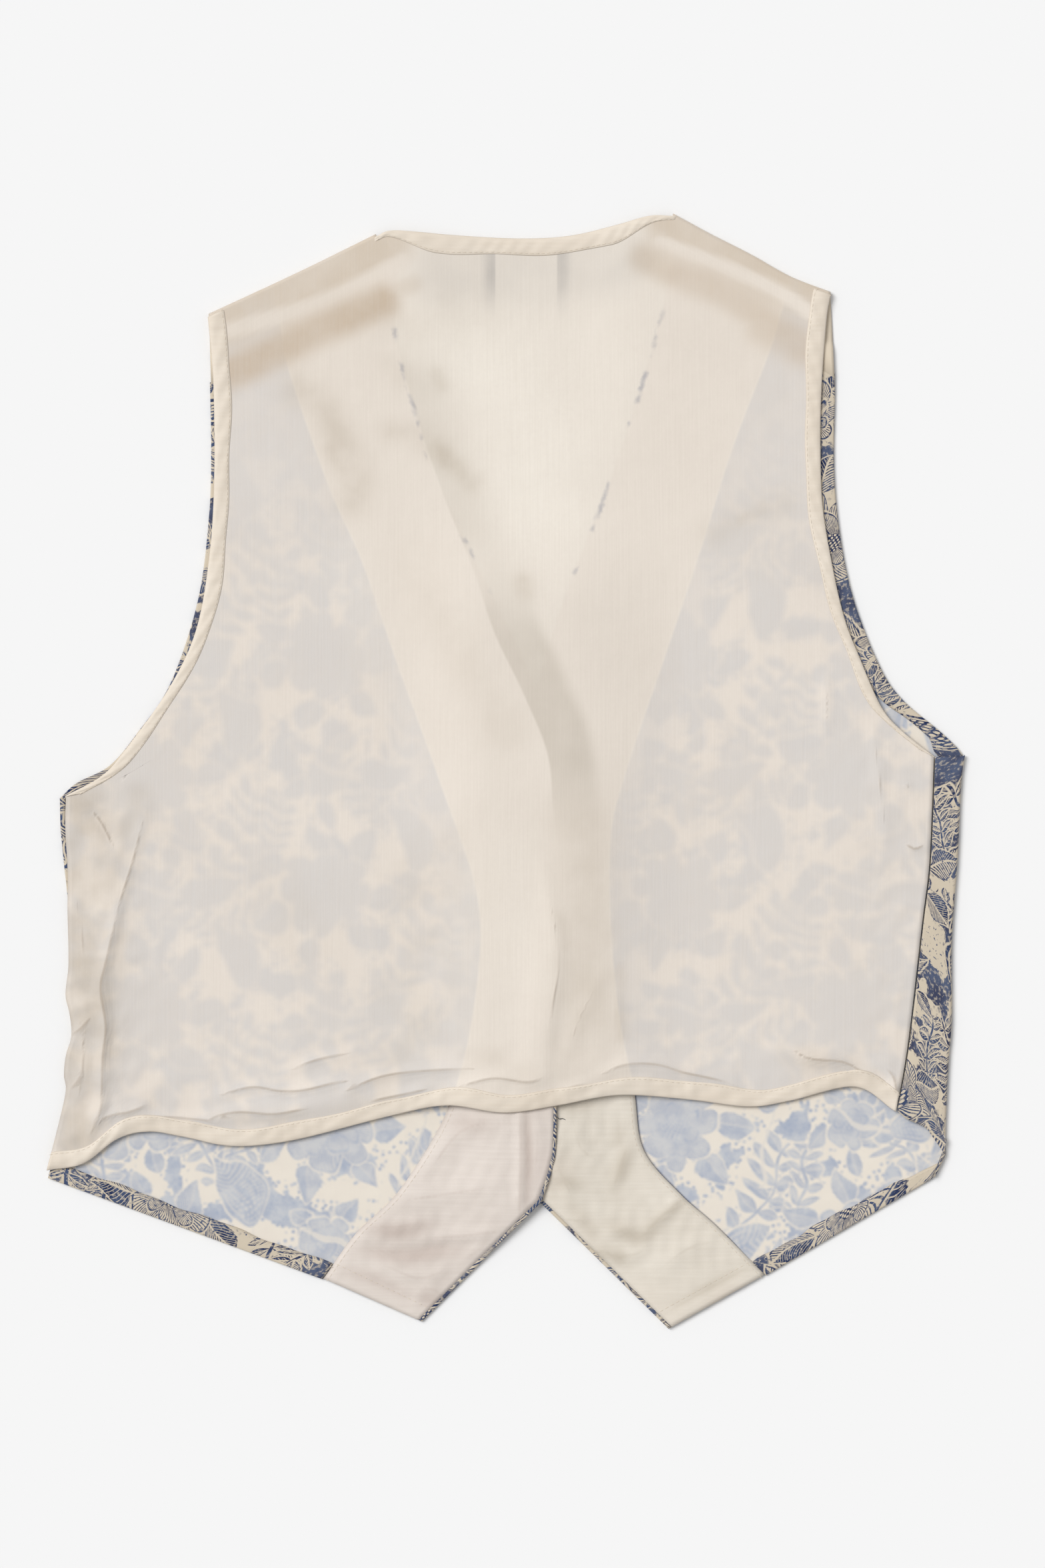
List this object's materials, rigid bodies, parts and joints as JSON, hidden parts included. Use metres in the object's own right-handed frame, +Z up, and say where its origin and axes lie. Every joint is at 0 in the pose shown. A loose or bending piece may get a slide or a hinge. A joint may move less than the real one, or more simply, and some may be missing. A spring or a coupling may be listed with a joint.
{
  "type": "waistcoat",
  "caption": "Sleeveless V-neck waistcoat laid flat, face down: a plain pale back over floral printed fronts with pointed hems, lapped and buttoned.",
  "frame": {"origin": "on the floor under the middle of the outline, where the fronts' right sides rest", "axes": "+Y from the pointed hems to the neck, +X across to the side where the print wraps over, +Z up through the back panel"},
  "size_m": [0.4812, 0.5851, 0.0117],
  "materials": {
    "back_silk": "thin plain-woven silk, cream, soft sheen",
    "binding_silk": "bias strips of cream silk, topstitched",
    "print_cloth": "plain-woven cloth with a navy leaf and flower print on cream, pale blue on its wrong side",
    "left_facing_silk": "pinkish beige silk with a soft sheen",
    "right_facing_silk": "ivory silk with a soft sheen",
    "label_ribbon": "woven ribbon, blank",
    "button_shell": "cream, polished"
  },
  "bodies": {
    "root": {"back": "back_silk", "front_left": "print_cloth", "front_right": "print_cloth", "facing_left": "left_facing_silk", "facing_right": "right_facing_silk", "hem_turnup_left": "print_cloth", "hem_turnup_right": "print_cloth", "armhole_turnin_left": "print_cloth", "armhole_turnin_right": "print_cloth", "neck_binding": "binding_silk", "hem_binding": "binding_silk", "armhole_binding_left": "binding_silk", "armhole_binding_right": "binding_silk", "label": "label_ribbon", "button_1": "button_shell", "button_2": "button_shell", "button_3": "button_shell", "button_4": "button_shell"}
  },
  "joints": []
}
